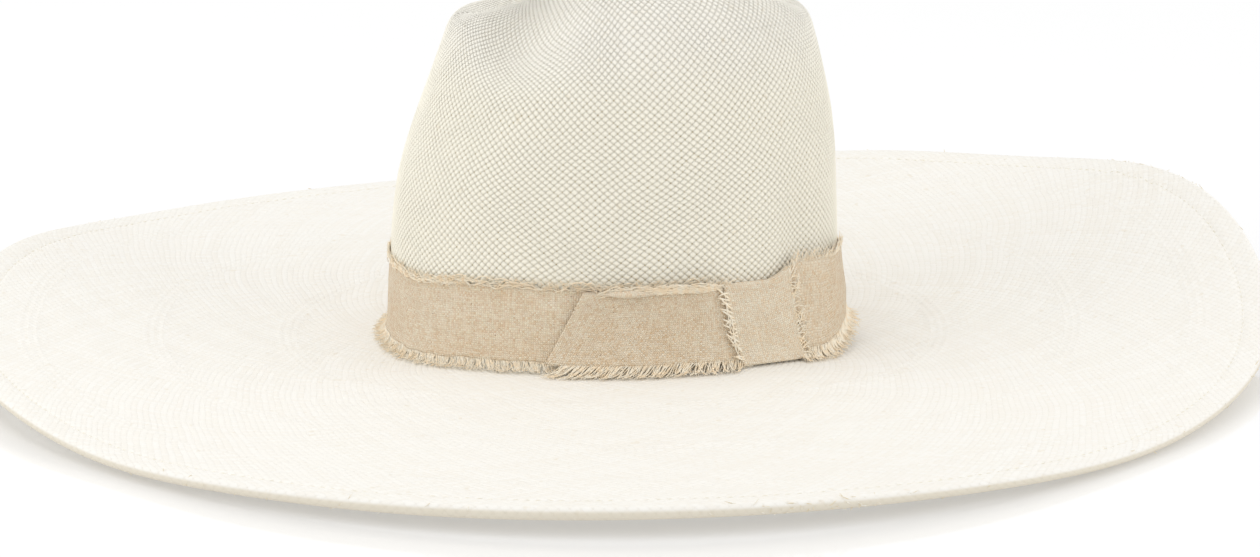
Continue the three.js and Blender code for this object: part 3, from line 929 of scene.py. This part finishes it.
def keeper_path():
    """The strip round the bow, from the middle of its back, under it, up the front and over:
    distances along it, and the height and the distance out at each."""
    radius = (KEEPER_FRONT_OUT - KEEPER_BACK_OUT) / 2
    middle = (KEEPER_FRONT_OUT + KEEPER_BACK_OUT) / 2
    low, high = KEEPER_LOW + 1, KEEPER_HIGH - 1
    down = np.linspace(20, low, KEEPER_BACK_POINTS)
    under = half_turn(180, KEEPER_TURN_POINTS)
    up = np.linspace(low, high, KEEPER_FRONT_POINTS)
    over = half_turn(0, KEEPER_TURN_POINTS)
    back = np.linspace(high, 21, KEEPER_BACK_POINTS)
    behind = np.full(KEEPER_BACK_POINTS, KEEPER_BACK_OUT)
    heights = np.concatenate([down, low + np.sin(under), up, high + np.sin(over), back])
    outs = np.concatenate([
        behind, middle + radius * np.cos(under), np.full(KEEPER_FRONT_POINTS, KEEPER_FRONT_OUT),
        middle + radius * np.cos(over), behind,
    ])
    return walk(heights, outs), heights, outs


def keeper_point(along, across, out=0.0):
    """along is the way round the bow, across is from the keeper's front edge to its back one."""
    walked, heights, outs = keeper_path()
    height = np.interp(along, walked, heights)
    middle = np.interp(along, walked, outs)
    share = (height - KEEPER_LOW) / (KEEPER_HIGH - KEEPER_LOW)
    degrees = KEEPER_START + across / ROUND_MM * 360 + KEEPER_LEAN * share
    front = smoothstep(middle, KEEPER_BACK_OUT + 0.3, KEEPER_FRONT_OUT)
    soft = 0.14 + 0.14 * ripple(np.radians(degrees * 5), height, 61, length=(18, 50))
    height = height + climb(degrees, share)
    return wall_point(np.radians(degrees), height, middle + front * soft + out)


KEEPER_WIDTH = (KEEPER_END - KEEPER_START) / 360 * ROUND_MM


def keeper(material):
    return grid_sheet(
        "bow_keeper", keeper_point, keeper_path()[0], np.linspace(0, KEEPER_WIDTH, 30),
        ["bow_keeper"], material, CLOTH, turned=True,
    )


def sweatband(material):
    lengths = np.linspace(0, ROUND_MM, 361)[:-1]
    heights = [1.5, 1.9, 3, 5, 8, 14, 20, 26, 30, SWEATBAND_HEIGHT - 0.5, SWEATBAND_HEIGHT]

    def place(along, up):
        angle = along / ROUND_MM * TURN
        soft = 0.12 * ripple(angle, up, 71, around=(6, 24))
        return wall_point(angle, up, SWEATBAND_OUT - 0.15 * hump(up, SWEATBAND_HEIGHT, 1) + soft)

    return grid_sheet(
        "sweatband", place, lengths, heights, ["sweatband"], material, 0.5, endless=True
    )


def seam_tape(material):
    lengths = np.linspace(0, 11, 14)
    heights = np.linspace(5, SWEATBAND_HEIGHT - 1, 24)

    def place(along, up):
        angle = np.radians(90) + (along - 5.5) / 95
        raised = 0.16 * np.cos((along - 5.5) / 5.5 * np.pi)
        return wall_point(angle, up, TAPE_OUT - 0.1 - raised)

    return grid_sheet(
        "sweatband_seam_tape", place, lengths, heights, ["sweatband_seam_tape"], material,
        0.3, turned=True,
    )


# ---- Frayed edges ----
def spaced(start, end, step, seed):
    rng = np.random.default_rng(seed)
    places = np.arange(start, end, step)
    return places + rng.uniform(-0.4, 0.4, len(places)) * step


def random_waves(distance, rng, heights, lengths, count):
    """A few waves along a distance, added up."""
    total = 0.0
    for _ in range(count):
        height = rng.uniform(*heights)
        length = rng.uniform(*lengths)
        total = total + height * np.sin(TURN * distance / length + rng.uniform(0, TURN))
    return total


def tufts(starts, rng, most=0.4):
    """How far each end of thread leans along the edge, so that neighbours gather in tufts."""
    return most * random_waves(starts, rng, (0.4, 1.0), (3, 12), 4)


def fringe(place, starts, edge, away, length, slant, lift, seed, steps=6):
    """Ends of thread past an edge. place takes a distance along, one across and one out."""
    rng = np.random.default_rng(seed)
    count = len(starts)
    share = np.linspace(0, 1, steps)
    reach = rng.uniform(*length, (count, 1))
    lean = rng.normal(*slant, (count, 1)) + tufts(starts, rng)[:, None]
    curl = rng.normal(0, 0.5, (count, 1)) * share**2
    weave = 0.15 * np.sin(share * rng.uniform(4, 9, (count, 1)) + rng.uniform(0, TURN, (count, 1)))
    along = starts[:, None] + reach * (lean * share + curl) + weave * share
    across = edge + away * (reach * share - 0.6)
    out = 0.25 + rng.uniform(*lift, (count, 1)) * share**1.5 + weave * share
    return place(along, across, out)


def hanging(place, starts, length, slant, seed, steps=9):
    """Ends of thread that hang from the bottom of the linen and turn out onto the brim."""
    rng = np.random.default_rng(seed)
    count = len(starts)
    share = np.linspace(0, 1, steps)
    reach = rng.uniform(*length, (count, 1)) * share
    lean = rng.normal(*slant, (count, 1)) + tufts(starts, rng, 0.12)[:, None]
    curl = rng.normal(0, 0.12, (count, 1)) * share
    along = starts[:, None] + reach * (lean + curl)
    resting = 2.0 + rng.uniform(0, 0.7, (count, 1)) * share
    height = resting + ramp(LINEN_EDGE + 0.4 - 0.75 * reach - resting, 1.4)
    wave = 0.2 * np.sin(share * 6 + rng.uniform(0, TURN, (count, 1))) * share
    return place(along, height, 0.1 + ramp(0.8 * reach - 2.2, 2.0) - ramp(-2.2, 2.0) + wave)


def loose_threads(place, length, spans, rise, seed, count, steps=44):
    """Threads that have come out of the weave and wander along an edge."""
    rng = np.random.default_rng(seed)
    share = np.linspace(0, 1, steps)
    paths = []
    for _ in range(count):
        span = rng.uniform(*spans)
        start = rng.uniform(0, length - span)
        wave = random_waves(span * share, rng, (0.2, 0.6), (4, 16), 3)
        arch = (rise[1] - rise[0]) * rng.uniform() * np.sin(np.pi * share) ** 0.7
        height = rise[0] + arch + 0.6 * wave
        paths.append(place(start + span * share, height, 0.55 + 0.5 * np.abs(wave)))
    return np.stack(paths)


def clear_of_keeper(place, start, end, step, seed, lean=0):
    """Places along a strip that the keeper doesn't cover, at its top or at its bottom."""
    starts = spaced(start, end, step, seed)
    spot = place(starts, BOW_BOTTOM + 0.0 * starts)
    degrees = np.degrees(np.arctan2(spot[:, 1] / WALL_BACK, spot[:, 0] / WALL_SIDE))
    return starts[(degrees < KEEPER_START + lean + 0.5) | (degrees > KEEPER_END + lean - 1)]


LOOP_BACK = 52  # length of the bow's strip behind the end of the loop, mm


def bow_front():
    """The part of the bow's strip that shows: from the wing's fold to the end of the loop."""
    return bow_fold()[1] + 0.5, bow_length() - LOOP_BACK


def frays():
    """The frayed edges of the band, the bow and the keeper: name to (paths, radius)."""
    first, last = bow_front()
    walked = keeper_path()[0]
    upwards = KEEPER_BACK_POINTS + KEEPER_TURN_POINTS
    low, high = walked[upwards + 1], walked[upwards + KEEPER_FRONT_POINTS - 2]

    def keeper_rope(along, height, out):
        return keeper_point(low + along, BAND_HEIGHT - height - 0.4, out)

    def along_bow_top(along, height, out):
        return bow_point(first + along, height, out + 0.2)

    def past_keeper(along, height, out):
        return band_point(10 + along, height, out)

    fine, yarn = 0.13, 0.27
    band = clear_of_keeper(band_point, 0.5, BAND_LENGTH, 0.36, 1, KEEPER_LEAN)
    front = clear_of_keeper(bow_point, first, last, 0.36, 6, KEEPER_LEAN)
    band_low = clear_of_keeper(band_point, 0.5, BAND_LENGTH, 0.4, 3)
    band_yarns = clear_of_keeper(band_point, 0.5, BAND_LENGTH, 0.9, 15)
    bow_low = clear_of_keeper(bow_point, first, last, 0.45, 8)
    bow_yarns = clear_of_keeper(bow_point, first, last, 1.0, 18)
    front_ends, back_ends = spaced(low, high, 1.75, 10), spaced(low, high, 0.62, 12)
    back = KEEPER_WIDTH - 1.2
    wing = min(front[np.diff(front, append=last) > 5]) - first
    return {
        "hatband_fray_top": (
            fringe(band_point, band, BAND_HEIGHT - 0.5, 1, (2.0, 5.4), (0.3, 0.5), (0.2, 1.6), 2),
            fine,
        ),
        "hatband_loose_threads": (
            loose_threads(past_keeper, BAND_LENGTH - 34, (8, 34), (37.2, 41.4), 5, 260), yarn,
        ),
        "hatband_fringe": (hanging(band_point, band_low, (5.5, 10), (0.25, 0.25), 4), fine * 1.2),
        "hatband_fringe_yarns": (
            hanging(band_point, band_yarns, (5.2, 8.2), (0.3, 0.2), 16), yarn * 0.85
        ),
        "bow_fray_top": (
            fringe(bow_point, front, BOW_TOP - 0.3, 1, (2.0, 5.0), (0.3, 0.5), (0, 1.0), 7), fine,
        ),
        "bow_loose_threads": (
            loose_threads(along_bow_top, wing, (8, 28), (37.0, 40.6), 17, 80), yarn,
        ),
        "bow_fringe": (hanging(bow_point, bow_low, (6, 12), (-0.4, 0.15), 9), fine * 1.3),
        "bow_fringe_yarns": (hanging(bow_point, bow_yarns, (7, 11), (-0.45, 0.1), 19), yarn * 1.3),
        "keeper_fray_front": (
            fringe(keeper_point, front_ends, 0.8, -1, (3.8, 5.6), (0.7, 0.35), (0.6, 1.6), 11),
            0.46,
        ),
        "keeper_fray_back": (
            fringe(keeper_point, back_ends, back, 1, (3.2, 5.8), (0.1, 0.4), (0.5, 1.6), 13),
            0.31,
        ),
        "keeper_loose_threads": (
            loose_threads(keeper_rope, high - low, (8, 22), (37.8, 39.4), 14, 9), 0.24,
        ),
    }


def bow_flap(material):
    """A torn edge of the linen that curls outwards along the top of the wing."""
    start = bow_front()[0] + 2
    length, depth = 27.0, 4.2

    def place(along, up):
        width = np.sin(np.pi * np.clip(along / length, 0.02, 0.98)) ** 0.6
        turn = up / depth * 1.15 * np.pi
        lean = 0.5 * np.sin(along / 4.1) + 0.3 * np.sin(along / 1.9)
        height = BOW_TOP - 0.4 + (1.7 * np.sin(turn) + 0.35 * lean) * width
        return bow_point(start + along, height, 0.3 + (1.0 - np.cos(turn)) * width)

    lengths, heights = np.linspace(0, length, 46), np.linspace(0, depth, 10)
    return grid_sheet("bow_flap", place, lengths, heights, [], material, 0.3)


# ---- The hat ----
def build_hat():
    straw = straw_material()
    thread = thread_material("thread", (0.94, 0.91, 0.84), (0.86, 0.82, 0.7))
    linen = linen_material("linen", (1.0, 0.91, 0.74), (0.79, 0.565, 0.345))
    keeper_linen = linen_material("linen_keeper", (1.0, 0.93, 0.77), (0.88, 0.67, 0.45))
    flax = thread_material("flax", (1.0, 0.92, 0.77), (1.0, 0.85, 0.64))
    ribbon = ribbon_material()
    straw_crown(straw)
    straw_brim(straw)
    brim_wire(metal_material("steel_wire", (0.62, 0.63, 0.64), (0.42, 0.43, 0.44)))
    wire_joiner(metal_material("brass", (0.7, 0.55, 0.3), (0.5, 0.38, 0.2)))
    hem_stitches(thread)
    straw_ends(thread_material("split_straw", (0.95, 0.92, 0.84), (0.8, 0.7, 0.5)))
    ring = sweatband(ribbon)
    stitches = sweatband_stitches(thread)
    tape = seam_tape(ribbon)
    strips = {"hatband": hatband(linen), "bow": bow(linen), "keeper": keeper(keeper_linen)}
    edges = {
        name: thread_object(name, paths, radius, [], flax, sides=3)
        for name, (paths, radius) in frays().items()
    }
    edges["bow_flap"] = bow_flap(keeper_linen)
    for side, at in (("front", -92), ("right", 178), ("back", 108)):
        tack("band_tack_" + side, at, BAND_OUT + 0.5, thread)
    tack("bow_tack_front", -3, BOW_FRONT_OUT + 0.5, thread)

    bow_length() * MM
    float(keeper_path()[0][-1]) * MM


# ---- Studio ----
WHITE = (1.0, 1.0, 1.0, 1.0)
VIEW_AZIMUTH = 86
VIEW_ELEVATION = 16
VIEW_LENS = 123.2
VIEW_DISTANCE = 1.9
VIEW_RIGHT = 0.00705  # how far the camera stands to the right of the hat's middle, and up from it
VIEW_UP = 0.024


def floor_material():
    """A white table that is lit through from below, with a glossy top."""
    s = Shader("floor", roughness=0.05, specular=1.0)
    cloud = s.noise(s.place, 3.0)
    s.fill(s.surface, {"Emission Color": WHITE, "Emission Strength": 0.235, "IOR": 2.0})
    return s.finish(s.mix(cloud, (0.67, 0.67, 0.67), (0.69, 0.69, 0.69)))


def studio():
    mesh = bpy.data.meshes.new("floor")
    half, level = 6.0, -0.0002
    corners = ((-half, -half, level), (half, -half, level), (half, half, level), (-half, half, level))
    mesh.from_pydata(corners, [], [(0, 1, 2, 3)])
    mesh.materials.append(floor_material())
    floor = add_to_scene("floor", mesh)
    world = bpy.data.worlds.new("studio")
    bpy.context.scene.world = world
    world.use_nodes = True
    background = world.node_tree.nodes["Background"]
    background.inputs["Color"].default_value = WHITE
    background.inputs["Strength"].default_value = 0.88
    towards, right, _ = camera_axes()
    softbox("left", Vector((0, 0, 0.5)) + towards * 0.3 - right * 1.2, 0.9, 3.4)
    softbox("top", Vector((0, 0, 1.6)) - right * 0.3, 0.8, 2.4)
    softbox("right", Vector((0, 0, 0.5)) + towards * 0.3 + right * 1.2, 0.9, 2.8)
    bpy.context.scene.view_settings.view_transform = "Standard"


def softbox(name, where, size, power):
    light = bpy.data.lights.new(name, "AREA")
    light.size = size
    light.energy = power
    lamp = add_to_scene(name, light)
    lamp.location = where
    lamp.visible_glossy = False
    lamp.rotation_euler = (-where).to_track_quat("-Z", "Y").to_euler()


def camera_axes():
    """Directions towards the camera, to its right and up."""
    az, el = np.radians(VIEW_AZIMUTH), np.radians(VIEW_ELEVATION)
    towards = Vector((np.sin(az) * np.cos(el), -np.cos(az) * np.cos(el), np.sin(el)))
    right = Vector((np.cos(az), np.sin(az), 0.0))
    return towards, right, towards.cross(right)


def camera():
    towards, right, up = camera_axes()
    data = bpy.data.cameras.new("camera")
    data.lens = VIEW_LENS
    data.sensor_width = 36
    eye = add_to_scene("camera", data)
    eye.matrix_world = Matrix((right, up, towards)).transposed().to_4x4()
    eye.location = right * VIEW_RIGHT + up * VIEW_UP + towards * VIEW_DISTANCE
    bpy.context.scene.camera = eye


build_hat()
studio()
camera()
